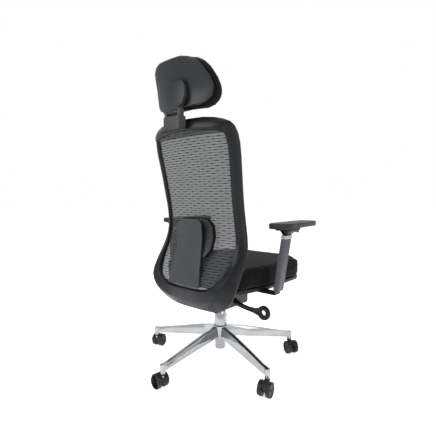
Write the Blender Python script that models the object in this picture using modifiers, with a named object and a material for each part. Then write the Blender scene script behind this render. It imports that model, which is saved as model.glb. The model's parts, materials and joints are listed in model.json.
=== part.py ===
"""A swivel office chair with a mesh back, a headrest, adjustable arms and a polished star base.

Units are metres and +Z is up. The chair faces -Y, so the sitter's right is at -X. Every shape below is
given in chair coordinates, whose Z axis is the gas column's axis and whose floor is at Z = 0. An empty
named chair carries the whole object and shifts it so that its footprint is centred on the world's origin.
"""

import math

import bmesh
import bpy
from mathutils import Matrix, Vector

# ------------------------------------------------------------------ driving dimensions

GAP = 0.0003  # between pieces that touch
COLUMN_Y = 0.0030  # the column stands a little behind the middle of the footprint

# Casters: twin wheels on a swivelling stem.
WHEEL_RADIUS = 0.026
WHEEL_FACETS = 16
WHEEL_INNER = 0.0078  # the wheel's faces, measured along the axle from the caster's middle
WHEEL_OUTER = 0.0245
AXLE_RADIUS = 0.004
CASTER_TRAIL = 0.018
CASTER_TOP = 0.0585
STEM_RADIUS = 0.0055
STEM_BOTTOM = 0.037
STEM_TOP = 0.086
TRAIL_ANGLES = (286, 355, 101, 151, 40)  # which way each caster trails, in degrees from +X

# Star base.
LEG_ANGLES = tuple(17.4 + 72 * leg for leg in range(5))
STEM_CIRCLE = 0.330
SOCKET_BOTTOM = 0.0625
SOCKET_TOP = 0.0945
HUB_RADIUS = 0.031
HUB_TOP = 0.156
HUB_BOTTOM = 0.104

# Gas column, at its lowest setting.
STAND_RADIUS = 0.025
STAND_BOTTOM = 0.052
STAND_TOP = 0.220
TUBE_RADIUS = 0.014
TUBE_TOP = 0.268
VALVE_TRAVEL = 0.004

# Tilt mechanism.
HOUSING_HALF_WIDTH = 0.060
HOUSING_BOTTOM = 0.240
RECLINE_Y, RECLINE_Z = 0.045, 0.276
SEAT_PIVOT_Y, SEAT_PIVOT_Z = -0.095, 0.306
LEVER_Z = 0.2805
KNOB_Z = 0.282

# Seat.
SHELL_BOTTOM = 0.348
CUSHION_BOTTOM = 0.364
CUSHION_TOP = 0.439

# Arms. The upright leans out and forward as it rises.
ARM_FOOT = Vector((0.2940, 0.003, 0.358))
ARM_LEAN = Vector((0.0995, -0.1117, 1.0))
COVER_TOP = 0.558
COLLAR_TOP = 0.572
HEAD_TOP = 0.590
PAD_BOTTOM = 0.5970
PAD_TOP = 0.618

# Back frame, from the middle of its bottom round to the middle of its top. Each station is a point on the
# parting line round the outside (x, y, z), the width of the rear surface from there to its inner rim, the
# degrees that this surface turns rearward, and how far along it its crease lies and stands out.
BACK_STATIONS = (
    (0.000, 0.166, 0.269, 0.105, 31, 0.55, 0.0130),
    (0.090, 0.168, 0.271, 0.104, 31, 0.55, 0.0130),
    (0.160, 0.176, 0.294, 0.098, 28, 0.60, 0.0170),
    (0.207, 0.188, 0.334, 0.088, 22, 0.66, 0.0180),
    (0.229, 0.189, 0.384, 0.074, 18, 0.66, 0.0160),
    (0.2335, 0.168, 0.431, 0.056, 22, 0.66, 0.0100),
    (0.2325, 0.137, 0.484, 0.045, 30, 0.60, 0.0030),
    (0.2235, 0.115, 0.536, 0.040, 36, 0.50, 0.0025),
    (0.211, 0.107, 0.601, 0.0385, 39, 0.50, 0.0025),
    (0.208, 0.120, 0.696, 0.0385, 39, 0.50, 0.0025),
    (0.215, 0.142, 0.814, 0.0385, 38, 0.50, 0.0025),
    (0.2215, 0.162, 0.909, 0.040, 36, 0.50, 0.0025),
    (0.211, 0.178, 0.969, 0.042, 32, 0.50, 0.0025),
    (0.178, 0.196, 0.996, 0.043, 28, 0.50, 0.0025),
    (0.100, 0.216, 1.010, 0.046, 25, 0.50, 0.0025),
    (0.000, 0.224, 1.012, 0.046, 25, 0.50, 0.0025),
)
FRONT_RIM = 0.012  # how far the frame stands ahead of its parting line
MESH_BOW = 0.6  # curvature of the mesh across the back, per metre

# Lumbar support: its outline (height, half-width), and each layer's distance behind the mesh.
LUMBAR_ROWS = (
    (0.482, 0.062),
    (0.490, 0.082),
    (0.515, 0.098),
    (0.560, 0.103),
    (0.605, 0.095),
    (0.628, 0.076),
    (0.635, 0.054),
)
LUMBAR_PAD_BEHIND = 0.0150
LUMBAR_SHELL_BEHIND = 0.0285
TONGUE_ROWS = (  # height, half-width and distance behind the mesh
    (0.3745, 0.085, 0.010),
    (0.4300, 0.078, 0.018),
    (0.5000, 0.069, 0.038),
    (0.5600, 0.066, 0.046),
    (0.6150, 0.061, 0.048),
    (0.6310, 0.046, 0.048),
)

# Headrest: height, half-width, and how far back the middle of the shell is.
NECK_PIN_Y, NECK_PIN_Z = 0.266, 1.030
HEADREST_BOW = 1.3
HEADREST_ROWS = (
    (1.052, 0.095, 0.2385),
    (1.060, 0.122, 0.2360),
    (1.080, 0.143, 0.2330),
    (1.112, 0.149, 0.2345),
    (1.146, 0.141, 0.2440),
    (1.178, 0.126, 0.2600),
    (1.198, 0.110, 0.2720),
    (1.211, 0.086, 0.2800),
    (1.217, 0.055, 0.2840),
)


# ------------------------------------------------------------------ scene and materials

for leftover in list(bpy.data.objects):
    bpy.data.objects.remove(leftover, do_unlink=True)

parts = bpy.data.collections.new("swivel_office_chair")
helpers = bpy.data.collections.new("cutters")
bpy.context.scene.collection.children.link(parts)
bpy.context.scene.collection.children.link(helpers)

chair = bpy.data.objects.new("chair", None)
chair.location = (0, COLUMN_Y, 0)
parts.objects.link(chair)


def material(name, colour, metallic, roughness):
    """A Principled material from a linear grey or RGB colour."""
    made = bpy.data.materials.new(name)
    made.use_nodes = True
    shader = made.node_tree.nodes["Principled BSDF"]
    shader.inputs["Base Color"].default_value = (*colour, 1)
    shader.inputs["Metallic"].default_value = metallic
    shader.inputs["Roughness"].default_value = roughness
    made.diffuse_color = (*colour, 1)
    return made


POLISHED_ALUMINIUM = material("polished_aluminium", (0.80, 0.80, 0.81), 1.0, 0.12)
CHROME = material("chromed_steel", (0.75, 0.75, 0.76), 1.0, 0.08)
STEEL = material("black_steel", (0.045, 0.045, 0.048), 0.6, 0.45)
BRIGHT_STEEL = material("ground_steel", (0.50, 0.50, 0.50), 1.0, 0.30)
BLACK_NYLON = material("black_nylon", (0.020, 0.020, 0.022), 0.0, 0.42)
GREY_NYLON = material("grey_nylon", (0.055, 0.056, 0.060), 0.0, 0.38)
SLEEVE_GREY = material("grey_polypropylene", (0.19, 0.185, 0.20), 0.0, 0.45)
BRACKET_GREY = material("light_grey_nylon", (0.155, 0.155, 0.155), 0.0, 0.45)
SOFT_BLACK = material("black_polyurethane", (0.035, 0.036, 0.032), 0.0, 0.55)
FABRIC = material("black_fabric", (0.012, 0.012, 0.013), 0.0, 0.90)
MESH_FABRIC = material("grey_mesh_fabric", (0.060, 0.062, 0.064), 0.0, 0.80)


# ------------------------------------------------------------------ shapes, each returned as a bmesh


def box(low, high):
    """An upright box between two corners."""
    low, high = Vector(low), Vector(high)
    form = bmesh.new()
    place = Matrix.Translation((low + high) / 2) @ Matrix.Diagonal((*(high - low), 1))
    bmesh.ops.create_cube(form, size=1, matrix=place)
    return form


def rod(start, end, radius, segments=16):
    """A round rod between two points."""
    start, end = Vector(start), Vector(end)
    turn = (end - start).to_track_quat("Z", "Y").to_matrix().to_4x4()
    form = bmesh.new()
    bmesh.ops.create_cone(
        form,
        cap_ends=True,
        segments=segments,
        radius1=radius,
        radius2=radius,
        depth=(end - start).length,
        matrix=Matrix.Translation((start + end) / 2) @ turn,
    )
    return form


def loft(sections, ring=False):
    """Faces between sections of equal length. A ring closes on itself, and an open loft gets end caps."""
    form = bmesh.new()
    rows = [[form.verts.new(point) for point in section] for section in sections]
    pairs = list(zip(rows, rows[1:]))
    if ring:
        pairs.append((rows[-1], rows[0]))
    for one, other in pairs:
        for index in range(len(one)):
            form.faces.new((one[index - 1], one[index], other[index], other[index - 1]))
    if not ring:
        form.faces.new(rows[0])
        form.faces.new(rows[-1])
    return form


def from_curve(curve):
    """The welded mesh of a curve, which is then removed."""
    obj = bpy.data.objects.new("outline", curve)
    helpers.objects.link(obj)
    graph = bpy.context.evaluated_depsgraph_get()
    mesh = bpy.data.meshes.new_from_object(obj.evaluated_get(graph))
    form = bmesh.new()
    form.from_mesh(mesh)
    bmesh.ops.remove_doubles(form, verts=form.verts, dist=0.00001)
    bpy.data.objects.remove(obj)
    bpy.data.meshes.remove(mesh)
    return form


def spline_through(curve, points, cyclic):
    """Adds a POLY spline through the points."""
    spline = curve.splines.new("POLY")
    spline.points.add(len(points) - 1)
    for target, point in zip(spline.points, points):
        target.co = (*point, 1)
    spline.use_cyclic_u = cyclic


# How a slab's outline and its thickness lie: an XY outline is extruded along Z, and so on.
PLANES = {
    "XY": Matrix.Identity(4),
    "YZ": Matrix(((0, 0, 1, 0), (1, 0, 0, 0), (0, 1, 0, 0), (0, 0, 0, 1))),
    "XZ": Matrix(((1, 0, 0, 0), (0, 0, -1, 0), (0, 1, 0, 0), (0, 0, 0, 1))),
}


def slab(outline, low, high, plane="XY"):
    """A flat outline extruded from low to high along the plane's normal."""
    curve = bpy.data.curves.new("outline", "CURVE")
    curve.dimensions = "2D"
    curve.fill_mode = "BOTH"
    curve.extrude = (high - low) / 2
    spline_through(curve, [(across, up, 0) for across, up in outline], True)
    form = from_curve(curve)
    middle = (low + high) / 2 * (-1 if plane == "XZ" else 1)
    bmesh.ops.translate(form, vec=(0, 0, middle), verts=form.verts)
    form.transform(PLANES[plane])
    return form


def wire(points, radius):
    """A round wire through the points, with eight sides."""
    curve = bpy.data.curves.new("route", "CURVE")
    curve.dimensions = "3D"
    curve.bevel_depth = radius
    curve.bevel_resolution = 2
    curve.use_fill_caps = True
    spline_through(curve, points, False)
    return from_curve(curve)


def rounded(corners, radius, steps=4):
    """An outline through the corners, each replaced by an arc."""
    outline = []
    for index, corner in enumerate(corners):
        here = Vector(corner)
        before = (Vector(corners[index - 1]) - here).normalized()
        after = (Vector(corners[(index + 1) % len(corners)]) - here).normalized()
        half_angle = before.angle(after) / 2
        reach = radius / math.tan(half_angle)
        centre = here + (before + after).normalized() * radius / math.sin(half_angle)
        start = here + before * reach - centre
        end = here + after * reach - centre
        for step in range(steps + 1):
            spoke = start.lerp(end, step / steps).normalized() * radius
            outline.append(tuple(centre + spoke))
    return outline


def rectangle(centre, width, depth, chamfer):
    """A level rectangle with chamfered corners, as eight points."""
    outline = []
    for side_x, side_y in ((1, -1), (1, 1), (-1, 1), (-1, -1)):
        corner = Vector((side_x * width / 2, side_y * depth / 2, 0))
        first = Vector((0, -side_y * chamfer, 0))
        second = Vector((-side_x * chamfer, 0, 0))
        steps = (first, second) if side_x == side_y else (second, first)
        outline += [centre + corner + step for step in steps]
    return outline


def catmull_rom(rows, steps):
    """Rows of numbers interpolated smoothly, with a number of steps between each two rows."""
    smooth = []
    for index in range(len(rows) - 1):
        before = rows[max(index - 1, 0)]
        after = rows[min(index + 2, len(rows) - 1)]
        for step in range(steps):
            t = step / steps
            smooth.append(
                tuple(
                    b + 0.5 * t * (c - a + t * (2 * a - 5 * b + 4 * c - d + t * (3 * (b - c) + d - a)))
                    for a, b, c, d in zip(before, rows[index], rows[index + 1], after)
                )
            )
    return smooth + [tuple(rows[-1])]


# ------------------------------------------------------------------ making objects


def add(name, form, finish, origin=(0, 0, 0), collection=parts):
    """Makes an object from a bmesh in chair coordinates, with the object's own origin at a given point."""
    form.normal_update()
    bmesh.ops.recalc_face_normals(form, faces=form.faces)
    bmesh.ops.translate(form, vec=-Vector(origin), verts=form.verts)
    mesh = bpy.data.meshes.new(name)
    form.to_mesh(mesh)
    form.free()
    mesh.shade_smooth()
    mesh.set_sharp_from_angle(angle=math.radians(35))
    mesh.materials.append(finish)
    obj = bpy.data.objects.new(name, mesh)
    obj.location = origin
    obj.parent = chair
    collection.objects.link(obj)
    return obj


def turned(name, profile, finish, place=None, segments=24, collection=parts):
    """A closed profile of (radius, height) points turned about its own Z axis, then put at place."""
    mesh = bpy.data.meshes.new(name)
    count = len(profile)
    on_axis = profile[0][0] == 0 and profile[-1][0] == 0
    edges = [(index, (index + 1) % count) for index in range(count - on_axis)]
    mesh.from_pydata([(radius, 0, height) for radius, height in profile], edges, [])
    mesh.materials.append(finish)
    obj = bpy.data.objects.new(name, mesh)
    obj.parent = chair
    obj.matrix_local = place or Matrix.Identity(4)
    collection.objects.link(obj)
    screw = obj.modifiers.new("turn", "SCREW")
    screw.steps = segments
    screw.render_steps = segments
    screw.use_merge_vertices = True
    screw.merge_threshold = 0.00005
    screw.use_smooth_shade = True
    return obj


def combine(obj, tool, operation):
    """Adds a Boolean of the tool, which becomes a hidden helper."""
    tool.hide_render = True
    tool.display_type = "WIRE"
    if tool.name in parts.objects:
        parts.objects.unlink(tool)
        helpers.objects.link(tool)
    modifier = obj.modifiers.new(tool.name, "BOOLEAN")
    modifier.operation = operation
    modifier.object = tool
    return obj


def joined(obj, *forms):
    """Fuses more forms to the object."""
    for form in forms:
        combine(obj, add(obj.name + "_joined", form, obj.data.materials[0], collection=helpers), "UNION")
    return obj


def drilled(obj, *forms):
    """Takes forms out of the object."""
    for form in forms:
        combine(obj, add(obj.name + "_cutter", form, obj.data.materials[0], collection=helpers), "DIFFERENCE")
    return obj


def eased(obj, width, segments=1, angle=50):
    """Rounds the edges that are sharper than the angle."""
    bevel = obj.modifiers.new("eased_edges", "BEVEL")
    bevel.width = width
    bevel.segments = segments
    bevel.limit_method = "ANGLE"
    bevel.angle_limit = math.radians(angle)
    return obj


def merged(*forms):
    """Several separate forms held in one bmesh, as one cutter."""
    whole = bmesh.new()
    for form in forms:
        mesh = bpy.data.meshes.new("piece")
        form.to_mesh(mesh)
        form.free()
        whole.from_mesh(mesh)
        bpy.data.meshes.remove(mesh)
    return whole


# ------------------------------------------------------------------ star base


def stem_point(leg, height):
    """The point at a height on a caster stem's axis."""
    angle = math.radians(LEG_ANGLES[leg])
    return Vector((STEM_CIRCLE * math.cos(angle), STEM_CIRCLE * math.sin(angle), height))


def leg_section(leg, distance, bottom_width, top_width, bottom, top):
    """One cross-section of a leg, square to it: a box that narrows upward."""
    out = stem_point(leg, 0).normalized()
    side = Vector((-out.y, out.x, 0))
    shape = ((-bottom_width, bottom), (bottom_width, bottom), (top_width, top), (-top_width, top))
    return [out * distance + side * width / 2 + Vector((0, 0, up)) for width, up in shape]


def leg_form(leg):
    """A tapered leg from inside the hub to the caster's socket."""
    rows = (
        (0.0275, 0.028, 0.018, 0.108, 0.1505),
        (0.1000, 0.028, 0.017, 0.100, 0.1415),
        (0.2000, 0.026, 0.016, 0.088, 0.1210),
        (0.3000, 0.023, 0.015, 0.0745, 0.0990),
        (0.3370, 0.017, 0.014, 0.0690, 0.0935),
    )
    return loft([leg_section(leg, *row) for row in rows])


def leg_hollow(leg):
    """The channel on a cast leg's underside."""
    rows = (
        (0.0450, 0.020, 0.011, 0.080, 0.1420),
        (0.2000, 0.018, 0.010, 0.070, 0.1150),
        (0.3000, 0.015, 0.009, 0.060, 0.0930),
    )
    return loft([leg_section(leg, *row) for row in rows])


def star_base():
    """The cast star: a hub, five hollow legs and a socket for each caster's stem."""
    bore = STAND_RADIUS + GAP
    profile = (
        (HUB_RADIUS - 0.003, HUB_TOP),
        (HUB_RADIUS, HUB_TOP - 0.003),
        (HUB_RADIUS, HUB_BOTTOM),
        (bore, HUB_BOTTOM),
        (bore, HUB_TOP),
    )
    hub = turned("base_star", profile, POLISHED_ALUMINIUM, segments=24)
    for leg in range(5):
        socket = rod(stem_point(leg, SOCKET_BOTTOM), stem_point(leg, SOCKET_TOP), 0.0105, 12)
        joined(hub, leg_form(leg), socket)
    bores = [
        rod(stem_point(leg, 0.05), stem_point(leg, STEM_TOP + 0.002), STEM_RADIUS + 0.0008, 10)
        for leg in range(5)
    ]
    drilled(hub, merged(*[leg_hollow(leg) for leg in range(5)]), merged(*bores))


# ------------------------------------------------------------------ casters


def caster(leg):
    """A stem, a housing with its axle, and two wheels. The caster's own +X is the way it trails."""
    name = f"caster_{leg + 1}"
    here = Matrix.Translation(stem_point(leg, 0)) @ Matrix.Rotation(math.radians(TRAIL_ANGLES[leg]), 4, "Z")
    stem_profile = (
        (0, STEM_TOP),
        (STEM_RADIUS, STEM_TOP - 0.001),
        (STEM_RADIUS, CASTER_TOP + 0.0035),
        (0.0090, CASTER_TOP + 0.0035),
        (0.0090, CASTER_TOP + GAP),
        (STEM_RADIUS, CASTER_TOP + GAP),
        (STEM_RADIUS, STEM_BOTTOM),
        (0, STEM_BOTTOM),
    )
    turned(f"{name}_stem", stem_profile, BRIGHT_STEEL, here, 10)

    def arc(radius, first, last, steps):
        angles = [math.radians(first + (last - first) * step / steps) for step in range(steps + 1)]
        return [
            (CASTER_TRAIL + radius * math.cos(angle), WHEEL_RADIUS + radius * math.sin(angle))
            for angle in angles
        ]

    hood = arc(0.0298, 40, 170, 5) + arc(0.0273, 170, 40, 5)
    web = arc(0.0285, 40, 190, 5) + arc(0.0120, 240, 350, 3)
    body = add(f"{name}_housing", slab(hood, -0.0235, 0.0235, "XZ"), BLACK_NYLON)
    boss = rod((0, 0, 0.0530), (0, 0, CASTER_TOP), 0.0105, 12)
    axle = rod((CASTER_TRAIL, -0.0242, WHEEL_RADIUS), (CASTER_TRAIL, 0.0242, WHEEL_RADIUS), AXLE_RADIUS, 8)
    joined(body, slab(web, -0.0072, 0.0072, "XZ"), boss, axle)
    drilled(body, rod((0, 0, STEM_BOTTOM - 0.001), (0, 0, 0.09), STEM_RADIUS + 0.0008, 10))
    body.matrix_local = here
    for modifier in body.modifiers:
        modifier.object.matrix_local = here

    tread = WHEEL_RADIUS / math.cos(math.pi / WHEEL_FACETS)
    wheel_profile = (
        (0.0225, 0.0215),
        (0.0255, WHEEL_OUTER),
        (tread - 0.0015, WHEEL_OUTER),
        (tread, WHEEL_OUTER - 0.0015),
        (tread, WHEEL_INNER),
        (AXLE_RADIUS + 0.0005, WHEEL_INNER),
        (AXLE_RADIUS + 0.0005, 0.0215),
    )
    half_facet = Matrix.Rotation(math.pi / WHEEL_FACETS, 4, "Z")
    centre = here @ Matrix.Translation((CASTER_TRAIL, 0, WHEEL_RADIUS))
    for side, quarter in (("left", -90), ("right", 90)):
        place = centre @ Matrix.Rotation(math.radians(quarter), 4, "X") @ half_facet
        turned(f"{name}_wheel_{side}", wheel_profile, BLACK_NYLON, place, WHEEL_FACETS)


# ------------------------------------------------------------------ gas column


def gas_column():
    """The stand tube with its bush and bearing, the piston rod, the pressure tube and its valve."""
    floor = STAND_BOTTOM + 0.004
    turned(
        "stand_tube",
        (
            (STAND_RADIUS, STAND_TOP),
            (STAND_RADIUS, HUB_BOTTOM),
            (0.0225, HUB_BOTTOM - 0.006),
            (0.0225, STAND_BOTTOM),
            (0.0065, STAND_BOTTOM),
            (0.0065, floor),
            (0.0210, floor),
            (0.0210, HUB_BOTTOM - 0.004),
            (0.0235, HUB_BOTTOM + 0.004),
            (0.0235, STAND_TOP),
        ),
        CHROME,
        segments=20,
    )
    bush_top = STAND_TOP + 0.0045
    turned(
        "guide_bush",
        (
            (STAND_RADIUS - 0.0005, bush_top),
            (STAND_RADIUS - 0.0005, STAND_TOP + GAP),
            (0.0232, STAND_TOP + GAP),
            (0.0232, STAND_TOP - 0.086),
            (TUBE_RADIUS + GAP, STAND_TOP - 0.086),
            (TUBE_RADIUS + GAP, bush_top),
        ),
        BLACK_NYLON,
        segments=20,
    )
    bearing_top = floor + 0.008
    turned(
        "thrust_bearing",
        ((0.016, bearing_top), (0.016, floor + GAP), (0.0055, floor + GAP), (0.0055, bearing_top)),
        BRIGHT_STEEL,
        segments=16,
    )
    collar = bearing_top + GAP
    piston = TUBE_TOP - 0.034
    turned(
        "piston_rod",
        (
            (0, piston + 0.015),
            (0.0105, piston + 0.015),
            (0.0105, piston),
            (0.0050, piston),
            (0.0050, collar + 0.004),
            (0.0120, collar + 0.004),
            (0.0120, collar),
            (0.0045, collar),
            (0.0045, STAND_BOTTOM - 0.005),
            (0, STAND_BOTTOM - 0.005),
        ),
        CHROME,
        segments=12,
    )
    tube_bottom = collar + 0.006
    chamber_top = TUBE_TOP - 0.009
    turned(
        "pressure_tube",
        (
            (TUBE_RADIUS - 0.0010, TUBE_TOP),
            (TUBE_RADIUS, TUBE_TOP - 0.040),
            (TUBE_RADIUS, tube_bottom),
            (0.0054, tube_bottom),
            (0.0054, tube_bottom + 0.008),
            (0.0115, tube_bottom + 0.008),
            (0.0115, chamber_top),
            (0.0035, chamber_top),
            (0.0035, TUBE_TOP),
        ),
        CHROME,
        segments=16,
    )
    head_bottom = TUBE_TOP + VALVE_TRAVEL + 0.0007
    turned(
        "valve_button",
        (
            (0, TUBE_TOP + 0.0085),
            (0.006, TUBE_TOP + 0.0085),
            (0.006, head_bottom),
            (0.003, head_bottom),
            (0.003, chamber_top - 0.003),
            (0, chamber_top - 0.003),
        ),
        BRIGHT_STEEL,
        segments=10,
    )


# ------------------------------------------------------------------ tilt mechanism


def mechanism():
    """The cast housing under the seat, the link that carries the back, and the controls."""
    wall = 0.004
    half = HOUSING_HALF_WIDTH
    side = rounded(
        ((-0.125, HOUSING_BOTTOM), (0.105, HOUSING_BOTTOM), (0.105, 0.290), (-0.080, 0.318), (-0.125, 0.318)),
        0.010,
        2,
    )
    housing = add("mechanism_housing", slab(side, -half, half, "YZ"), STEEL)
    inside = (
        (wall - 0.125, HOUSING_BOTTOM + wall),
        (0.105 - wall, HOUSING_BOTTOM + wall),
        (0.105 - wall, 0.340),
        (wall - 0.125, 0.340),
    )
    drilled(housing, slab(inside, wall - half, half - wall, "YZ"))
    joined(housing, rod((0, 0, STAND_TOP + 0.006), (0, 0, TUBE_TOP - 0.008), 0.0255, 20))
    for sign in (-1, 1):
        inner = sign * (half - wall / 2)
        outer = sign * (half + 0.011)
        joined(housing, rod((inner, RECLINE_Y, RECLINE_Z), (outer, RECLINE_Y, RECLINE_Z), 0.008, 12))
    reach = half + 0.02
    drilled(
        housing,
        rod((0, 0, 0.22), (0, 0, TUBE_TOP + 0.01), TUBE_RADIUS + 0.0006, 16),
        rod((-reach, SEAT_PIVOT_Y, SEAT_PIVOT_Z), (reach, SEAT_PIVOT_Y, SEAT_PIVOT_Z), 0.0047, 10),
        rod((-reach, 0, LEVER_Z), (-0.04, 0, LEVER_Z), 0.0060, 10),
        rod((0.04, 0, KNOB_Z), (reach, 0, KNOB_Z), 0.0047, 10),
        rod((0, -0.14, KNOB_Z), (0, -0.11, KNOB_Z), 0.0055, 10),
    )

    pin_end = half + 0.011
    pin = rod((-pin_end, SEAT_PIVOT_Y, SEAT_PIVOT_Z), (pin_end, SEAT_PIVOT_Y, SEAT_PIVOT_Z), 0.004, 10)
    add("seat_pivot_pin", pin, BRIGHT_STEEL)

    cheek_in = half + 0.0035
    cheek_out = cheek_in + 0.006
    low, high = RECLINE_Z - 0.018, RECLINE_Z + 0.018
    rear_low = low + 0.018
    cheek = rounded(((0.027, low), (0.070, low), (0.149, rear_low), (0.149, high), (0.027, high)), 0.008, 2)
    link = add("tilt_link", slab(cheek, cheek_in, cheek_out, "YZ"), STEEL, (0, RECLINE_Y, RECLINE_Z))
    joined(
        link,
        slab(cheek, -cheek_out, -cheek_in, "YZ"),
        box((0.001 - cheek_out, 0.130, rear_low + 0.001), (cheek_out - 0.001, 0.148, high - 0.001)),
    )
    trunnions = rod((-0.09, RECLINE_Y, RECLINE_Z), (0.09, RECLINE_Y, RECLINE_Z), 0.0087, 12)
    drilled(link, trunnions)

    shaft = rod((0.008, 0, LEVER_Z), (-0.078, 0, LEVER_Z), 0.0035, 8)
    lever = add("height_lever", shaft, BLACK_NYLON, (-half, 0, LEVER_Z))
    blade = (
        (-0.072, 0.2880),
        (-0.084, 0.2880),
        (-0.110, 0.2730),
        (-0.150, 0.2660),
        (-0.185, 0.2660),
        (-0.210, 0.2730),
        (-0.210, 0.2370),
        (-0.182, 0.2450),
        (-0.140, 0.2500),
        (-0.095, 0.2580),
        (-0.072, 0.2700),
    )
    disc = rod((-0.228, -0.0045, 0.255), (-0.228, 0.0045, 0.255), 0.029, 20)
    hole = rod((-0.228, -0.02, 0.255), (-0.228, 0.02, 0.255), 0.0105, 12)
    joined(lever, slab(blade, -0.004, 0.004, "XZ"), disc)
    drilled(lever, hole)

    lock = add("tilt_lever", rod((0.050, 0, KNOB_Z), (0.130, 0, KNOB_Z), 0.0038, 8), BLACK_NYLON, (0, 0, KNOB_Z))
    paddle = rounded(((0.108, -0.006), (0.140, -0.006), (0.140, 0.034), (0.108, 0.034)), 0.006, 2)
    joined(lock, slab(paddle, KNOB_Z - 0.005, KNOB_Z + 0.005))

    turned(
        "tension_knob",
        (
            (0, 0.048),
            (0.0045, 0.048),
            (0.0045, 0.028),
            (0.021, 0.028),
            (0.023, 0.025),
            (0.023, 0.003),
            (0.020, 0),
            (0, 0),
        ),
        BLACK_NYLON,
        Matrix.Translation((0, -0.161, KNOB_Z)) @ Matrix.Rotation(math.radians(-90), 4, "X"),
        16,
    )
    turns, steps = 4, 8
    coil = [
        (
            0.014 * math.cos(math.tau * step / steps),
            -0.105 + 0.060 * step / (turns * steps),
            KNOB_Z + 0.014 * math.sin(math.tau * step / steps),
        )
        for step in range(turns * steps + 1)
    ]
    add("tension_spring", wire(coil, 0.002), BRIGHT_STEEL)


# ------------------------------------------------------------------ seat


def seat_outline(inset):
    """The seat seen from above, pulled in all round by an inset."""
    half = (
        (0.215 - inset, 0.150 - inset),
        (0.252 - inset, -0.020),
        (0.250 - inset, -0.272),
        (0.165, -0.364 + inset),
    )
    corners = [*half, *[(-x, y) for x, y in reversed(half)]]
    return rounded(corners, 0.060, 3)


def seat():
    """The steel plate with its pivot ears, the moulded shell and the cushion."""
    pivot = (0, SEAT_PIVOT_Y, SEAT_PIVOT_Z)
    plate_outline = rounded(((-0.100, -0.130), (0.100, -0.130), (0.100, 0.120), (-0.100, 0.120)), 0.015, 2)
    plate = add("seat_plate", slab(plate_outline, SHELL_BOTTOM - 0.0055, SHELL_BOTTOM - GAP), STEEL, pivot)
    ear_in = HOUSING_HALF_WIDTH + 0.0035
    for low, high in ((ear_in, ear_in + 0.005), (-ear_in - 0.005, -ear_in)):
        joined(plate, box((low, -0.113, SEAT_PIVOT_Z - 0.011), (high, -0.077, SHELL_BOTTOM - 0.004)))
    drilled(plate, rod((-0.09, *pivot[1:]), (0.09, *pivot[1:]), 0.0047, 10))

    shell = add("seat_shell", slab(seat_outline(0.014), SHELL_BOTTOM, CUSHION_BOTTOM - GAP), GREY_NYLON, pivot)
    drilled(shell, slab(seat_outline(0.022), SHELL_BOTTOM + 0.006, CUSHION_BOTTOM + 0.01))

    cushion = add("seat_cushion", slab(seat_outline(0), CUSHION_BOTTOM, CUSHION_TOP), FABRIC, pivot)
    eased(cushion, 0.022, 2)


# ------------------------------------------------------------------ arms


def arm_centre(height, offset=0):
    """The middle of the left arm's upright at a height, moved outward by an offset."""
    return ARM_FOOT + ARM_LEAN * (height - ARM_FOOT.z) + Vector((offset, 0, 0))


def leaning(rows, chamfer=0.001, offset=0):
    """A loft of level rectangles, one for each (height, width, depth), along the upright's lean."""
    return loft([rectangle(arm_centre(up, offset), width, depth, chamfer) for up, width, depth in rows])


def mirrored(form, sign):
    """The form itself for the left side, or its mirror image for the right."""
    form.transform(Matrix.Diagonal((sign, 1, 1, 1)))
    form.normal_update()
    return form


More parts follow.
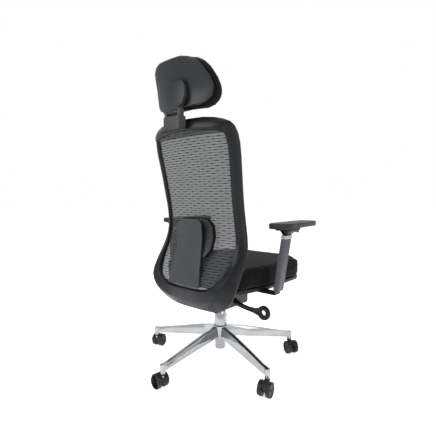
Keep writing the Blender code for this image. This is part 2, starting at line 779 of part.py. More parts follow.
def arm(side, sign):
    """One arm: bracket, cover, collar, sliding post with its button, turntable and pad."""

    def mirror_point(point):
        return Vector((sign * point[0], point[1], point[2]))

    bar_bottom = SHELL_BOTTOM - 0.0065
    bar = box((0.105, -0.022, bar_bottom), (0.290, 0.022, SHELL_BOTTOM - GAP))
    bracket = add(f"arm_bracket_{side}", mirrored(bar, sign), STEEL)
    upright = ((bar_bottom, 0.006, 0.034), (0.490, 0.006, 0.034))
    joined(bracket, mirrored(leaning(upright, offset=-0.005), sign))

    sleeve = ((ARM_FOOT.z, 0.024, 0.047), (COVER_TOP, 0.024, 0.047))
    hollow = ((0.330, 0.018, 0.041), (0.580, 0.018, 0.041))
    cover = add(f"arm_cover_{side}", mirrored(leaning(sleeve, 0.005), sign), SLEEVE_GREY)
    drilled(cover, mirrored(leaning(hollow, 0.003), sign))

    ring = ((COVER_TOP + GAP, 0.0265, 0.0495), (COLLAR_TOP, 0.0265, 0.0495))
    mouth = ((0.540, 0.018, 0.040), (0.590, 0.018, 0.040))
    collar = add(f"arm_collar_{side}", mirrored(leaning(ring, 0.006), sign), CHROME)
    drilled(collar, mirrored(leaning(mouth, 0.003), sign))

    head_middle = arm_centre(HEAD_TOP)
    x, y = head_middle.x, head_middle.y
    blade = ((0.390, 0.007, 0.034), (COLLAR_TOP + 0.002, 0.007, 0.034))
    post = add(f"arm_post_{side}", mirrored(leaning(blade, offset=0.004), sign), BLACK_NYLON)
    forward = Vector((0, -1, 0))
    head = [
        rectangle(arm_centre(COLLAR_TOP + 0.0006), 0.020, 0.038, 0.005),
        rectangle(arm_centre(0.581) + forward * 0.004, 0.028, 0.056, 0.006),
        rectangle(arm_centre(0.587) + forward * 0.016, 0.040, 0.086, 0.008),
        rectangle(arm_centre(HEAD_TOP) + forward * 0.022, 0.042, 0.104, 0.008),
    ]
    joined(post, mirrored(loft(head), sign))
    nose = Vector((x, y - 0.062, 0.5825))
    pocket = box(nose + Vector((-0.0085, -0.03, -0.012)), nose + Vector((0.0085, 0.012, 0.0025)))
    pivot_top = mirror_point((x, y, HEAD_TOP + 0.01))
    pivot_bottom = mirror_point((x, y, 0.584))
    drilled(post, mirrored(pocket, sign), rod(pivot_bottom, pivot_top, 0.0085, 12))

    trigger = ((-0.018, 0.0015), (0.010, 0.0015), (0.010, -0.0025), (-0.006, -0.0035), (-0.018, -0.0060))
    button = slab([(nose.y + ahead, nose.z + up) for ahead, up in trigger], x - 0.008, x + 0.008, "YZ")
    add(f"arm_button_{side}", mirrored(button, sign), GREY_NYLON, mirror_point(nose))

    yaw_axis = mirror_point(head_middle)
    plate = rounded(
        ((x - 0.036, y - 0.074), (x + 0.020, y - 0.074), (x + 0.020, y + 0.036), (x - 0.036, y + 0.036)), 0.010, 2
    )
    turntable_form = mirrored(slab(plate, HEAD_TOP + 0.0005, PAD_BOTTOM - GAP), sign)
    turntable = add(f"arm_turntable_{side}", turntable_form, BLACK_NYLON, yaw_axis)
    joined(turntable, rod(mirror_point((x, y, 0.585)), mirror_point((x, y, 0.594)), 0.008, 12))

    outline = ((0.262, -0.245), (0.336, -0.245), (0.345, -0.010), (0.334, 0.040), (0.270, 0.040), (0.256, -0.010))
    pad = add(f"arm_pad_{side}", mirrored(slab(rounded(outline, 0.014, 2), PAD_BOTTOM, PAD_TOP), sign), SOFT_BLACK, yaw_axis)
    eased(pad, 0.005, 1)


# ------------------------------------------------------------------ back


def back_frame_sections(steps):
    """Sections of the frame's left half: parting line, crease, rear rim, lip, inner front and outer front."""
    stations = catmull_rom(BACK_STATIONS, steps)
    sections = []
    for index, (x, y, z, band, dish, share, bulge) in enumerate(stations):
        ahead = Vector(stations[min(index + 1, len(stations) - 1)][:3])
        behind = Vector(stations[max(index - 1, 0)][:3])
        along = (ahead - behind).normalized()
        if index in (0, len(stations) - 1):
            along = Vector((1 if index == 0 else -1, 0, 0))
        inward = Vector((-along.z, 0, along.x)).normalized()
        forward = (Vector((0, -1, 0)) + along * along.y).normalized()
        across = inward * math.cos(math.radians(dish)) - forward * math.sin(math.radians(dish))
        outward = -inward * math.sin(math.radians(dish)) - forward * math.cos(math.radians(dish))
        parting = Vector((x, y, z))
        rim = parting + across * band
        crease = parting + across * band * share + outward * bulge
        lip = rim + forward * 0.009 + inward * 0.006
        inner_front = lip + forward * 0.009
        outer_front = parting + forward * FRONT_RIM
        sections.append([parting, crease, rim, lip, inner_front, outer_front])
    return sections


def both_halves(sections):
    """The half's sections and their mirror images, as one ring."""
    mirror = [[Vector((-p.x, p.y, p.z)) for p in section] for section in sections[1:-1]]
    return sections + mirror[::-1]


def mesh_rows(steps):
    """Rows of points across the opening of the frame, bowed rearward between its sides."""
    rows = []
    for section in back_frame_sections(steps)[1:-1]:
        inner = (section[3] + section[4]) / 2  # between the lip and the inner front edge
        centre_pull = (Vector((0, inner.y, 0.7)) - inner).normalized() * 0.0015
        edge = inner + Vector((centre_pull.x, 0, centre_pull.z))
        if edge.x < 0.080:
            continue
        bow = MESH_BOW * edge.x**2
        columns = 7
        row = []
        for column in range(columns):
            across = 1 - 2 * column / (columns - 1)
            row.append(Vector((edge.x * across, edge.y + bow * (1 - across**2), edge.z)))
        rows.append(row)
    return rows


def sheet_form(rows):
    """An open surface through rows of equal length."""
    form = bmesh.new()
    grid = [[form.verts.new(point) for point in row] for row in rows]
    for one, other in zip(grid, grid[1:]):
        for index in range(1, len(one)):
            form.faces.new((one[index - 1], one[index], other[index], other[index - 1]))
    return form


def shelled(obj, thickness, offset):
    """Gives an open surface its thickness."""
    solidify = obj.modifiers.new("thickness", "SOLIDIFY")
    solidify.thickness = thickness
    solidify.offset = offset
    solidify.use_even_offset = False
    return obj


def back():
    """The moulded ring frame, the mesh stretched across it, and the lumbar support behind the mesh."""
    axis = (0, RECLINE_Y, RECLINE_Z)
    frame = add("back_frame", loft(both_halves(back_frame_sections(2)), ring=True), GREY_NYLON, axis)
    joined(frame, box((-0.055, 0.1483, RECLINE_Z + 0.002), (0.055, 0.170, RECLINE_Z + 0.022)))

    shelled(add("back_mesh", sheet_form(mesh_rows(2)), MESH_FABRIC, axis), 0.002, 0)

    sections = [
        rectangle(Vector((0, mesh_depth(0, up) + behind, up)), 2 * half_width, 0.006, 0.001)
        for up, half_width, behind in TONGUE_ROWS
    ]
    add("lumbar_bracket", loft(sections), BRACKET_GREY, axis)

    shell = behind_mesh(LUMBAR_ROWS, LUMBAR_SHELL_BEHIND, 7)
    shelled(add("lumbar_shell", sheet_form(shell), BRACKET_GREY, axis), 0.005, 0)
    pad_rows = [(up + (up - 0.558) * 0.05, width * 1.05) for up, width in LUMBAR_ROWS]
    pad = behind_mesh(pad_rows, LUMBAR_PAD_BEHIND, 7)
    shelled(add("lumbar_pad", sheet_form(pad), FABRIC, axis), 0.014, 0)


def mesh_depth(x, height):
    """How far back the middle of the mesh is, at a place across and a height."""
    rows = mesh_rows(1)
    for low, high in zip(rows, rows[1:]):
        if height <= high[0].z:
            break
    share = (height - low[0].z) / (high[0].z - low[0].z)
    edge = low[0].lerp(high[0], min(max(share, 0), 1))
    return edge.y + MESH_BOW * (edge.x**2 - x**2)


def behind_mesh(outline, distance, columns):
    """Rows across an outline of (height, half-width), a distance behind the middle of the mesh."""
    rows = []
    for height, half_width in outline:
        across = [half_width * (1 - 2 * column / (columns - 1)) for column in range(columns)]
        rows.append([Vector((x, mesh_depth(x, height) + distance, height)) for x in across])
    return rows


# ------------------------------------------------------------------ headrest


def headrest_surface(grow, behind, columns=9):
    """Rows across the headrest's outline, grown all round, at a distance behind its middle surface."""
    rows = []
    for height, half_width, middle in HEADREST_ROWS:
        half_width += grow
        height += grow * (height - 1.135) / 0.083
        across = [half_width * (1 - 2 * column / (columns - 1)) for column in range(columns)]
        rows.append([Vector((x, middle + behind - HEADREST_BOW * x**2, height)) for x in across])
    return rows


def headrest():
    """The neck that slides on the frame, the tilting arm, the moulded shell and the pad."""
    pin = (0, NECK_PIN_Y, NECK_PIN_Z)
    neck = add("headrest_neck", box((-0.041, 0.2470, 0.968), (0.041, 0.283, 1.015)), GREY_NYLON)
    for low, high in ((-0.041, -0.0285), (0.0285, 0.041)):
        joined(neck, box((low, 0.2560, 1.010), (high, 0.2780, 1.041)))
    joined(neck, rod((-0.035, *pin[1:]), (0.035, *pin[1:]), 0.005, 10))

    arm_rows = (
        (1.0300, 0.052, 0.2660, 0.016),
        (1.0460, 0.052, 0.2640, 0.016),
        (1.0600, 0.086, 0.2590, 0.016),
        (1.0900, 0.104, 0.2550, 0.016),
        (1.1250, 0.104, 0.2570, 0.016),
        (1.1420, 0.084, 0.2640, 0.012),
    )
    sections = [rectangle(Vector((0, rear, up)), width, depth, 0.003) for up, width, rear, depth in arm_rows]
    arm_plate = add("headrest_arm", loft(sections), GREY_NYLON, pin)
    joined(arm_plate, rod((-0.0275, *pin[1:]), (0.0275, *pin[1:]), 0.0115, 14))
    drilled(arm_plate, rod((-0.035, *pin[1:]), (0.035, *pin[1:]), 0.0056, 10))

    shell = sheet_form(headrest_surface(0, 0.006))
    shelled(add("headrest_shell", shell, GREY_NYLON, pin), 0.008, 0)
    pad = sheet_form(headrest_surface(0.008, -0.0250))
    shelled(add("headrest_pad", pad, FABRIC, pin), 0.042, 0)


star_base()
for number in range(5):
    caster(number)
gas_column()
mechanism()
seat()
arm("left", 1)
arm("right", -1)
back()
headrest()
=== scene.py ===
# %% [markdown]
# # A mesh-backed swivel chair
# The chair's hard parts were drawn first as engineering solids, each in its true place in metres.
# This lesson dresses them: it rounds their edges, gives each a finish, and replaces the plain
# blocks that stand for cushions and mesh with sewn, woven pieces.

import json
import math

import bmesh
import bpy
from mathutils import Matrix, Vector
from mathutils.bvhtree import BVHTree


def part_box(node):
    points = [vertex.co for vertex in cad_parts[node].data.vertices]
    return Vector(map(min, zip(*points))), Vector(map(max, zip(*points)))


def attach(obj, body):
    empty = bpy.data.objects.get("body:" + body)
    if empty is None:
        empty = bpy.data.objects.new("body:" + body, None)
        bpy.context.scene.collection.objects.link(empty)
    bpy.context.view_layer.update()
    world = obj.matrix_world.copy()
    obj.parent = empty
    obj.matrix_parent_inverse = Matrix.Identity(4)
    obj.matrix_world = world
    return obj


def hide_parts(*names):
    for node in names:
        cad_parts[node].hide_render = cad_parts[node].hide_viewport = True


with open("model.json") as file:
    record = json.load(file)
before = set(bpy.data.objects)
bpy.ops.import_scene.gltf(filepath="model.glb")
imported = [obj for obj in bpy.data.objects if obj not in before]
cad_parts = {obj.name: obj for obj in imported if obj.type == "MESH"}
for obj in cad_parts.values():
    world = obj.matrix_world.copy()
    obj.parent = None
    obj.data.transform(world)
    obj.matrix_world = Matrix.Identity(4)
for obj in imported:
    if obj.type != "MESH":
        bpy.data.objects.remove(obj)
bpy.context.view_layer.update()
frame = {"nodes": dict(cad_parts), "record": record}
nodes = frame["nodes"]
body_of_node = {
    name: body for body, members in frame["record"]["behaviour"]["bodies"].items() for name in members
}
MM = 0.001
print("frame holds", len(nodes), "pieces")

# %% [markdown]
# ## Camera and light
# Someone standing behind the chair's right shoulder took the view, close up with a short lens, at about
# the height of the lumbar pad. Large soft lamps and a pale floor keep the shadows gentle, so that dark
# plastics still show their form.

# %% Camera
LENS_MM, SENSOR_MM = 28.6, 36
column_low, column_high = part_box("stand_tube")
column = (column_low + column_high) / 2
camera_data = bpy.data.cameras.new("studio_camera")
camera_data.sensor_width = SENSOR_MM
camera_data.lens = LENS_MM
camera = bpy.data.objects.new("studio_camera", camera_data)
bpy.context.scene.collection.objects.link(camera)
camera.location = (-0.9706, column.y + 1.1567, 0.713)
aim = Vector((0.0074, column.y + 0.0062, 0.627))
camera.rotation_euler = (aim - camera.location).to_track_quat("-Z", "Y").to_euler()
bpy.context.scene.camera = camera
print("camera is", round((aim - camera.location).length, 2), "m from its aim")


# %% [markdown]
# ## Colours and nodes
# Paint charts give colours as sRGB hex values, but the renderer mixes light in linear values, so one
# function turns one into the other. A second small function adds a shader node, sets it and wires it.


# %% Helpers for finishes
def linear(colour):
    """An sRGB hex value, such as "#2b2d31", as linear RGBA."""
    channels = [int(colour[start : start + 2], 16) / 255 for start in (1, 3, 5)]
    return [c / 12.92 if c <= 0.04045 else ((c + 0.055) / 1.055) ** 2.4 for c in channels] + [1.0]


def add_node(tree, kind, settings=None, inputs=None):
    """Adds a node. An input is a value, or an output socket to link from."""
    new = tree.nodes.new(kind)
    for name, value in (settings or {}).items():
        setattr(new, name, value)
    for name, value in (inputs or {}).items():
        if isinstance(value, bpy.types.NodeSocket):
            tree.links.new(value, new.inputs[name])
        else:
            new.inputs[name].default_value = value
    return new


def new_finish(name, **shader):
    """A material with one Principled shader, whose constant sockets are set here."""
    finish = bpy.data.materials.new(name)
    finish.use_nodes = True
    tree = finish.node_tree
    surface = tree.nodes["Principled BSDF"]
    for socket, value in shader.items():
        surface.inputs[socket.replace("_", " ")].default_value = value
    place = add_node(tree, "ShaderNodeTexCoord").outputs["Object"]
    return finish, tree, surface, place


def colour_and_relief(tree, surface, tone, colours, height, depth, strength=1.0):
    """Blends two hex colours by one pattern, and raises the surface by another, to a real depth."""
    tones = add_node(tree, "ShaderNodeValToRGB", inputs={"Fac": tone})
    for stop, colour in zip(tones.color_ramp.elements, colours):
        stop.color = linear(colour)
    tree.links.new(tones.outputs["Color"], surface.inputs["Base Color"])
    relief = {"Height": height, "Distance": depth, "Strength": strength}
    bump = add_node(tree, "ShaderNodeBump", inputs=relief)
    tree.links.new(bump.outputs["Normal"], surface.inputs["Normal"])


print("hex #808080 is", round(linear("#808080")[0], 3), "in linear light")

# %% [markdown]
# ## Moulded plastics
# Frame, shells and levers are glass-filled nylon, injection moulded in a tool whose walls were spark
# eroded. That leaves a fine sandy grain, which breaks up the gloss. The real grain is about half a
# millimetre across, too fine to show, so it is drawn 1.2 to 2 mm across. The arm sleeves are
# polypropylene, a little lighter and waxier. Edges that hands and clothes rub go smoother.


# %% Moulded plastic
def moulded_plastic(name, colours, grain_mm, roughness):
    finish, tree, surface, place = new_finish(name, IOR=1.5, Specular_IOR_Level=0.2)
    clouds = {"Vector": place, "Scale": 1 / (60 * MM), "Detail": 3.0}
    drift = add_node(tree, "ShaderNodeTexNoise", inputs=clouds).outputs["Fac"]
    sand = {"Vector": place, "Scale": 1 / (grain_mm * MM), "Detail": 4.0}
    grain = add_node(tree, "ShaderNodeTexNoise", inputs=sand).outputs["Fac"]
    gloss = {"Value": grain, "To Min": roughness - 0.07, "To Max": roughness + 0.09}
    sandy = add_node(tree, "ShaderNodeMapRange", inputs=gloss).outputs["Result"]
    rubbed = add_node(tree, "ShaderNodeNewGeometry").outputs["Pointiness"]
    smoother = {"Value": rubbed, "To Min": 0.10, "To Max": -0.10}
    wear = add_node(tree, "ShaderNodeMapRange", inputs=smoother).outputs["Result"]
    worn = add_node(tree, "ShaderNodeMath", {"operation": "ADD"}, {0: sandy, 1: wear})
    tree.links.new(worn.outputs[0], surface.inputs["Roughness"])
    colour_and_relief(tree, surface, drift, colours, grain, 0.12 * MM, 0.55)
    return finish


frame_nylon = moulded_plastic("grained_grey_nylon", ("#0d0e11", "#15171a"), 1.6, 0.36)
shell_nylon = moulded_plastic("satin_charcoal_nylon", ("#1b1c1f", "#25272a"), 1.4, 0.38)
tongue_nylon = moulded_plastic("pale_grey_nylon", ("#303133", "#3a3b3d"), 1.4, 0.42)
sleeve_plastic = moulded_plastic("grey_polypropylene_sleeve", ("#3c3d41", "#47484c"), 1.2, 0.34)
lever_nylon = moulded_plastic("black_nylon_moulding", ("#08090a", "#0f1012"), 1.2, 0.30)
caster_nylon = moulded_plastic("caster_nylon", ("#18191c", "#26272a"), 1.2, 0.34)
arm_skin = moulded_plastic("soft_polyurethane_skin", ("#1a1b1c", "#242627"), 2.0, 0.45)
print("plastics made, the lightest of them", sleeve_plastic.name)

# %% [markdown]
# ## Metals
# The star base is an aluminium die casting, linished and then polished on mops: bright, with a faint
# swirl. The column is plated with chromium, harder and more mirror-like. Pins are ground steel, and the
# tilt housing is pressed steel under black powder coat, which has an orange-peel skin.


# %% Metals
def polished_metal(name, colours, roughness, swirl_mm):
    finish, tree, surface, place = new_finish(name, Metallic=1.0)
    clouds = {"Vector": place, "Scale": 1 / (45 * MM), "Detail": 5.0}
    cloud = add_node(tree, "ShaderNodeTexNoise", inputs=clouds).outputs["Fac"]
    mop_marks = {"Vector": place, "Scale": 1 / (swirl_mm * MM), "Detail": 6.0, "Distortion": 1.5}
    swirl = add_node(tree, "ShaderNodeTexNoise", inputs=mop_marks).outputs["Fac"]
    gloss = {"Value": swirl, "To Min": roughness * 0.6, "To Max": roughness * 1.5}
    haze = add_node(tree, "ShaderNodeMapRange", inputs=gloss).outputs["Result"]
    tree.links.new(haze, surface.inputs["Roughness"])
    colour_and_relief(tree, surface, cloud, colours, swirl, 0.02 * MM, 0.3)
    return finish


def powder_coat(name, colours):
    finish, tree, surface, place = new_finish(name, IOR=1.5, Roughness=0.42, Specular_IOR_Level=0.3)
    dimples = {"Vector": place, "Scale": 1 / (2.2 * MM), "Detail": 2.0}
    peel = add_node(tree, "ShaderNodeTexNoise", inputs=dimples).outputs["Fac"]
    colour_and_relief(tree, surface, peel, colours, peel, 0.08 * MM, 0.6)
    return finish


polished_aluminium = polished_metal("polished_aluminium", ("#8f9295", "#b2b4b6"), 0.16, 9)
chrome_plate = polished_metal("chromium_plate", ("#8c8f93", "#aaadb0"), 0.10, 14)
ground_steel = polished_metal("ground_steel", ("#a4a6a8", "#b8babc"), 0.30, 3)
black_powder = powder_coat("black_powder_coat", ("#060708", "#0c0d0f"))
print("metals made:", polished_aluminium.name, chrome_plate.name, ground_steel.name, black_powder.name)


# %% [markdown]
# ## Woven cloth
# Seat and headrest are covered in a plain polyester weave. Real threads lie about half a millimetre
# apart, too fine to show from a metre off, so they are drawn 2.4 mm apart. Each thread is a rounded
# ridge that dips under its neighbour, and a little sheen stands for the fuzz on the yarn.


# %% Woven cloth
def woven_cloth(name, colours, thread_mm, sheen):
    finish, tree, surface, place = new_finish(
        name, Roughness=0.88, Specular_IOR_Level=0.12, Sheen_Weight=sheen, Sheen_Roughness=0.4
    )
    turns = math.pi / (thread_mm * MM)
    axes = add_node(tree, "ShaderNodeSeparateXYZ", inputs={"Vector": place})
    ridges = []
    for across in ("X", "Y"):
        slant = {0: axes.outputs[across], 1: axes.outputs["Z"]}
        both = add_node(tree, "ShaderNodeMath", {"operation": "ADD"}, slant)
        wave = add_node(tree, "ShaderNodeMath", {"operation": "MULTIPLY"}, {0: both.outputs[0], 1: turns})
        ridge = add_node(tree, "ShaderNodeMath", {"operation": "SINE"}, {0: wave.outputs[0]})
        ridges.append(ridge.outputs[0])
    weave = add_node(tree, "ShaderNodeMath", {"operation": "MULTIPLY"}, {0: ridges[0], 1: ridges[1]})
    raised_threads = {"Value": weave.outputs[0], "To Min": 0.0, "To Max": 1.0}
    level = add_node(tree, "ShaderNodeMapRange", inputs=raised_threads).outputs["Result"]
    clouds = {"Vector": place, "Scale": 1 / (35 * MM), "Detail": 6.0}
    cloud = add_node(tree, "ShaderNodeTexNoise", inputs=clouds).outputs["Fac"]
    # Painted light and shade: raised thread crowns are painted lighter and the dips between threads
    # darker, mixed with worn patches from the 35 mm clouds.
    crown_light_and_worn_patches = {0: level, 1: 0.3, 2: cloud}
    blend = add_node(tree, "ShaderNodeMath", {"operation": "MULTIPLY_ADD"}, crown_light_and_worn_patches)
    tones = {"Value": blend.outputs[0], "To Min": 0.0, "To Max": 0.8}
    shade = add_node(tree, "ShaderNodeMapRange", inputs=tones).outputs["Result"]
    colour_and_relief(tree, surface, shade, colours, level, 0.2 * MM, 0.35)
    return finish


seat_cloth = woven_cloth("black_polyester_weave", ("#050506", "#0e0e11"), 2.4, 0.06)
lumbar_cloth = woven_cloth("lumbar_cloth", ("#0c0c0d", "#151617"), 2.4, 0.06)
rib_yarn = woven_cloth("dark_rib_yarn", ("#0c0d0e", "#161718"), 1.6, 0.06)
print("cloths made:", seat_cloth.name, lumbar_cloth.name, rib_yarn.name)

# %% [markdown]
# ## Open net
# The back's ground net has threads and holes well under a millimetre, so they aren't drawn one by one.
# The share of light that the net stops, its cover, is set as the shader's alpha, and soft clouds stand
# for the uneven yarn.


# %% Open net
def open_net(name, colours, cover):
    finish, tree, surface, place = new_finish(name, Roughness=0.75, Alpha=cover)
    clouds = {"Vector": place, "Scale": 1 / (14 * MM), "Detail": 5.0}
    cloud = add_node(tree, "ShaderNodeTexNoise", inputs=clouds).outputs["Fac"]
    colour_and_relief(tree, surface, cloud, colours, cloud, 0.3 * MM, 0.5)
    return finish


COVER = 0.84
net_yarn = open_net("open_polyester_net", ("#2e3133", "#424547"), COVER)
print("the net stops", COVER, "of the light that meets it")

# %% [markdown]
# ## Rounding the hard parts
# A moulding or a casting never has a knife edge: the tool needs a radius to release it, and a casting
# is linished. Each hard part is therefore copied from its solid, its flat facets are joined up again,
# and a narrow bevel runs along the edges that turn sharply. The rest is shaded smooth.


# %% Rounded copies
def shown(name, mesh, body, *replaced):
    """Puts a finished mesh in the scene, riding on a body and standing for solids."""
    piece = bpy.data.objects.new(name, mesh)
    bpy.context.scene.collection.objects.link(piece)
    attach(piece, body)
    if replaced:
        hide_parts(*replaced)
    return piece


def clean_copy(node):
    """A welded copy of a solid's mesh, with coplanar triangles joined."""
    form = bmesh.new()
    form.from_mesh(nodes[node].data)
    bmesh.ops.remove_doubles(form, verts=form.verts, dist=0.00002)
    bmesh.ops.dissolve_limit(form, angle_limit=math.radians(1.5), verts=form.verts, edges=form.edges)
    for face in form.faces:
        face.smooth = True
    return form


def mesh_from(form, name, finish):
    mesh = bpy.data.meshes.new(name)
    form.to_mesh(mesh)
    form.free()
    mesh.materials.append(finish)
    return mesh


def rounded_part(node, name, finish, radius_mm, angle=28, steps=2):
    piece = shown(name, mesh_from(clean_copy(node), name, finish), body_of_node[node], node)
    edge = piece.modifiers.new("tool_radius", "BEVEL")
    edge.width = radius_mm * MM
    edge.segments = steps
    edge.limit_method = "ANGLE"
    edge.angle_limit = math.radians(angle)
    edge.use_clamp_overlap = True
    edge.harden_normals = True
    return piece


hard_parts = [
    ("base_star", "star_casting", polished_aluminium, 1.5),
    ("stand_tube", "column_tube", chrome_plate, 1.0),
    ("guide_bush", "column_bush", lever_nylon, 0.6),
    ("thrust_bearing", "column_bearing", ground_steel, 0.3),
    ("piston_rod", "gas_spring_rod", chrome_plate, 0.3),
    ("pressure_tube", "gas_spring_tube", chrome_plate, 0.4),
    ("valve_button", "gas_spring_valve", ground_steel, 0.3),
    ("mechanism_housing", "tilt_housing", black_powder, 1.2),
    ("seat_pivot_pin", "pivot_pin", ground_steel, 0.4),
    ("tilt_link", "back_link", black_powder, 1.2),
    ("height_lever", "lift_lever", lever_nylon, 1.8),
    ("tilt_lever", "lock_lever", lever_nylon, 1.2),
    ("tension_knob", "tension_handwheel", lever_nylon, 1.5),
    ("tension_spring", "tension_coil", ground_steel, 0.3),
    ("seat_plate", "seat_pressing", black_powder, 1.0),
    ("seat_shell", "seat_tray", lever_nylon, 3.0),
    ("back_frame", "back_ring", frame_nylon, 2.2),
    ("lumbar_bracket", "lumbar_tongue", tongue_nylon, 2.0),
    ("lumbar_shell", "lumbar_cup", shell_nylon, 2.0),
    ("headrest_neck", "neck_slider", tongue_nylon, 4.0),
    ("headrest_arm", "headrest_hinge_arm", shell_nylon, 3.0),
    ("headrest_shell", "headrest_cup", shell_nylon, 2.0),
]
for side in ("left", "right"):
    hard_parts += [
        (f"arm_bracket_{side}", f"arm_foot_{side}", black_powder, 1.2),
        (f"arm_cover_{side}", f"arm_sleeve_{side}", sleeve_plastic, 3.5),
        (f"arm_collar_{side}", f"arm_trim_{side}", chrome_plate, 1.5),
        (f"arm_post_{side}", f"arm_head_{side}", lever_nylon, 1.2),
        (f"arm_button_{side}", f"arm_trigger_{side}", tongue_nylon, 0.8),
        (f"arm_turntable_{side}", f"arm_swivel_plate_{side}", lever_nylon, 1.0),
    ]
for number in range(1, 6):
    hard_parts += [
        (f"caster_{number}_stem", f"caster_{number}_pin", ground_steel, 0.3),
        (f"caster_{number}_housing", f"caster_{number}_hood", caster_nylon, 1.0),
        (f"caster_{number}_wheel_left", f"caster_{number}_tyre_left", caster_nylon, 1.6),
        (f"caster_{number}_wheel_right", f"caster_{number}_tyre_right", caster_nylon, 1.6),
    ]
for node, name, finish, radius in hard_parts:
    rounded_part(node, name, finish, radius)
print(len(hard_parts), "hard parts rounded")


# %% [markdown]
# ## Stuffed pieces
# A foam cushion in a sewn cover is tight at its seams and crowned between them. Pressure in a cloth
# simulation gives just that: a block a few millimetres too small is turned to even cells, blown up,
# and stopped from moving more than a set distance, so that it keeps to its place in the shell.


# %% Blow up a cushion
def stuffed(node, name, finish, cell_mm, shrink_mm, travel_mm, steps=14):
    form = clean_copy(node)
    form.normal_update()
    for vert in form.verts:
        vert.co -= vert.normal * shrink_mm * MM
    piece = shown(name, mesh_from(form, name, finish), body_of_node[node], node)
    remesh = piece.modifiers.new("even_cells", "REMESH")
    remesh.mode = "VOXEL"
    remesh.voxel_size = cell_mm * MM
    relax = piece.modifiers.new("soft_corners", "SMOOTH")
    relax.factor = 0.5
    relax.iterations = 6
    graph = bpy.context.evaluated_depsgraph_get()
    piece.data = bpy.data.meshes.new_from_object(piece.evaluated_get(graph))
    piece.modifiers.clear()
    before = [vert.co.copy() for vert in piece.data.vertices]
    cloth = piece.modifiers.new("air", "CLOTH")
    cloth.settings.use_pressure = True
    cloth.settings.uniform_pressure_force = 4
    cloth.settings.effector_weights.gravity = 0
    cloth.settings.quality = 4
    for step in range(1, steps + 1):
        bpy.context.scene.frame_set(step)
    graph = bpy.context.evaluated_depsgraph_get()
    blown = bpy.data.meshes.new_from_object(piece.evaluated_get(graph))
    piece.modifiers.clear()
    for vert, start in zip(blown.vertices, before):
        move = vert.co - start
        if move.length > travel_mm * MM:
            vert.co = start + move.normalized() * travel_mm * MM
    piece.data = blown
    bpy.context.scene.frame_set(1)
    piece.data.materials.clear()
    piece.data.materials.append(finish)
    piece.data.polygons.foreach_set("use_smooth", [True] * len(piece.data.polygons))
    fine = piece.modifiers.new("fine_cloth", "SUBSURF")
    fine.levels = fine.render_levels = 1
    print(name, len(piece.data.polygons), "cells")
    return piece


seat_pad = stuffed("seat_cushion", "seat_cushion_cover", seat_cloth, 7, 4, 7)
head_pad = stuffed("headrest_pad", "headrest_cushion", seat_cloth, 5, 3, 5)
lumbar_pad = stuffed("lumbar_pad", "lumbar_cushion", lumbar_cloth, 4, 3, 1)
for side in ("left", "right"):
    arm_pad = rounded_part(f"arm_pad_{side}", f"arm_rest_{side}", arm_skin, 5.0, steps=4)


# %% [markdown]
# ## Seams
# The seat's cover is a top panel sewn to a side band. The seam is finished with a thin corded welt, which
# lies where the cushion is widest. Rays cast inwards find the blown-up surface, so the welt follows it.


# %% Welt round the seat
WELT_POINTS = 96


def welt(name, cushion, body, level, radius, finish, stands_for):
    """A cord round a cushion, at a level from 0, its solid's bottom, to 1, its top."""
    surface = BVHTree.FromObject(cushion, bpy.context.evaluated_depsgraph_get())
    low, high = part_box(stands_for)
    middle = (low + high) / 2
    middle.z = low.z + (high.z - low.z) * level
    points = []
    for step in range(WELT_POINTS):
        angle = 2 * math.pi * step / WELT_POINTS
        outward = Vector((math.cos(angle), math.sin(angle), 0))
        hit = surface.ray_cast(middle + outward, -outward)[0]
        if hit:
            points.append(hit)
    line = bpy.data.curves.new(name, "CURVE")
    line.dimensions = "3D"
    line.bevel_depth = radius
    line.bevel_resolution = 2
    spline = line.splines.new("POLY")
    spline.points.add(len(points) - 1)
    for point, place in zip(spline.points, points):
        point.co = (*place, 1)
    spline.use_cyclic_u = True
    line.materials.append(finish)
    piece = bpy.data.objects.new(name, line)
    bpy.context.scene.collection.objects.link(piece)
    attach(piece, body)
    print(name, "runs through", len(points), "points")


welt("seat_welt_1", seat_pad, "seat", 0.62, 1.4 * MM, seat_cloth, "seat_cushion")

# %% [markdown]
# ## The stretched back
# The back is a knitted net pulled tight in the ring: an open ground net with heavier ribs run across
# it. The net is one smooth sheet taken from the rear face of its solid, whose rim is drawn out a little
# so that its edge is hidden in the ring.


# %% The net
TUCK = 18 * MM  # hidden edge of the net, gripped inside the ring at top and bottom
SIDE_TUCK = 0.03  # the same at the sides, as a share of the distance from the middle
FULL_TUCK_FROM = 200 * MM  # height from the middle at which the whole tuck is reached
REAR_FACING = 0.35  # a face whose normal points further back than this is kept
net_low, net_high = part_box("back_mesh")
net_form = clean_copy("back_mesh")
net_form.normal_update()
front_faces = [face for face in net_form.faces if face.normal.y < REAR_FACING]
bmesh.ops.delete(net_form, geom=front_faces, context="FACES")
bmesh.ops.triangulate(net_form, faces=net_form.faces)
net_middle = Vector((0, 0, (net_low.z + net_high.z) / 2))
rim = [edge for edge in net_form.edges if edge.is_boundary]
grown = bmesh.ops.extrude_edge_only(net_form, edges=rim)["geom"]
for vert in (item for item in grown if isinstance(item, bmesh.types.BMVert)):
    outward = Vector((vert.co.x, 0, vert.co.z)) - net_middle
    rise = math.copysign(TUCK, outward.z) * min(1, abs(outward.z) / FULL_TUCK_FROM)
    vert.co += Vector((outward.x * SIDE_TUCK, 0, rise))
net_area = sum(face.calc_area() for face in net_form.faces)
net_tree = BVHTree.FromBMesh(net_form)
net = shown("back_net", mesh_from(net_form, "back_net", net_yarn), "back", "back_mesh")
print("the net has", round(net_area, 3), "square metres")

# %% [markdown]
# ## The ribs
# The ribs lie about 9.5 mm apart. Each one swells into a dark lens and thins again, and its neighbours
# swell where it is thin. A bump couldn't show them edge on, so each rib is a real ribbon: rays cast at
# the net find its surface, and the ribbon lies on that.

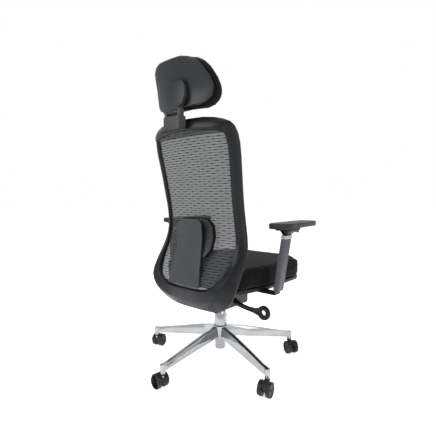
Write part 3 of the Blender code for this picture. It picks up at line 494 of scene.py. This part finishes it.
# %% The ribs
RIB_PITCH = 9.5 * MM
RIB_STEP = 6 * MM
LENS_LENGTH = 46 * MM
THIN, SWELL = 0.5 * MM, 1.2 * MM  # half heights
PROUD = 0.6 * MM  # a rib's middle behind the net
ribs = bmesh.new()
row = 0
height = net_low.z + RIB_PITCH
while height < net_high.z:
    previous = None
    across = net_low.x
    while across < net_high.x:
        phase = 2 * math.pi * across / LENS_LENGTH + math.pi * (row % 2)
        half = THIN + SWELL * max(0.0, math.sin(phase)) ** 1.5
        hit, normal, _, _ = net_tree.ray_cast(Vector((across, 1.0, height)), Vector((0, -1, 0)))
        if hit is None:
            previous = None
        else:
            lift = Vector((0, PROUD, 0))
            up = Vector((0, 0, half))
            pair = [ribs.verts.new(hit + lift - up), ribs.verts.new(hit + lift + up)]
            if previous:
                ribs.faces.new((previous[0], previous[1], pair[1], pair[0]))
            previous = pair
        across += RIB_STEP
    height += RIB_PITCH
    row += 1
loose = [vert for vert in ribs.verts if not vert.link_faces]
bmesh.ops.delete(ribs, geom=loose, context="VERTS")
for face in ribs.faces:
    face.smooth = True
rib_piece = shown("back_ribs", mesh_from(ribs, "back_ribs", rib_yarn), "back")
thick = rib_piece.modifiers.new("yarn_thickness", "SOLIDIFY")
thick.thickness = 0.8 * MM
thick.offset = 0
print(row, "ribs lie across the net")

# %% [markdown]
# ## The studio
# A pale floor, a bright surround and three big lamps: one high on the camera's left, a weaker one on
# the right, and one overhead that draws the long highlights on the polished legs.


# %% Floor
floor_form = bmesh.new()
bmesh.ops.create_grid(floor_form, x_segments=1, y_segments=1, size=30)
floor_finish, floor_tree, floor_surface, floor_place = new_finish(
    "matt_white_floor", Roughness=0.9, Emission_Color=(1, 1, 1, 1), Emission_Strength=0.62
)
mottle = add_node(floor_tree, "ShaderNodeTexNoise", inputs={"Vector": floor_place, "Scale": 3.0})
floor_tones = add_node(floor_tree, "ShaderNodeValToRGB", inputs={"Fac": mottle.outputs["Fac"]})
for stop, colour in zip(floor_tones.color_ramp.elements, ("#fafafa", "#ffffff")):
    stop.color = linear(colour)
floor_tree.links.new(floor_tones.outputs["Color"], floor_surface.inputs["Base Color"])
floor = bpy.data.objects.new("studio_floor", mesh_from(floor_form, "studio_floor", floor_finish))
bpy.context.scene.collection.objects.link(floor)

print("floor laid:", floor.name)

# %% Surround
HORIZON, OVERHEAD = (0.50, "#ffffff"), (0.75, "#3c3e42")  # height in the sky's ramp, and colour there
world = bpy.data.worlds.new("studio_surround")
world.use_nodes = True
sky = world.node_tree
direction = add_node(sky, "ShaderNodeTexCoord").outputs["Generated"]
upward = add_node(sky, "ShaderNodeSeparateXYZ", inputs={"Vector": direction}).outputs["Z"]
ceiling = add_node(sky, "ShaderNodeValToRGB", inputs={"Fac": upward})
for stop, (position, colour) in zip(ceiling.color_ramp.elements, (HORIZON, OVERHEAD)):
    stop.position = position
    stop.color = linear(colour)
sky.links.new(ceiling.outputs["Color"], sky.nodes["Background"].inputs["Color"])
sky.nodes["Background"].inputs["Strength"].default_value = 1.0
bpy.context.scene.world = world
print("surround is white to the horizon and grey overhead")


# %% Lamps
def lamp(name, place, target, size, watts):
    data = bpy.data.lights.new(name, "AREA")
    data.energy = watts
    data.size = size
    made = bpy.data.objects.new(name, data)
    bpy.context.scene.collection.objects.link(made)
    made.location = place
    made.rotation_euler = (Vector(target) - Vector(place)).to_track_quat("-Z", "Y").to_euler()


lamp("key_lamp", (0.6, 2.4, 2.2), (0, 0, 0.6), 1.6, 45)
lamp("fill_lamp", (-2.4, 0.4, 1.4), (0, 0, 0.6), 1.6, 22)
lamp("top_lamp", (0.0, 0.0, 3.2), (0, 0, 0), 2.0, 40)
bpy.context.scene.view_settings.view_transform = "Standard"
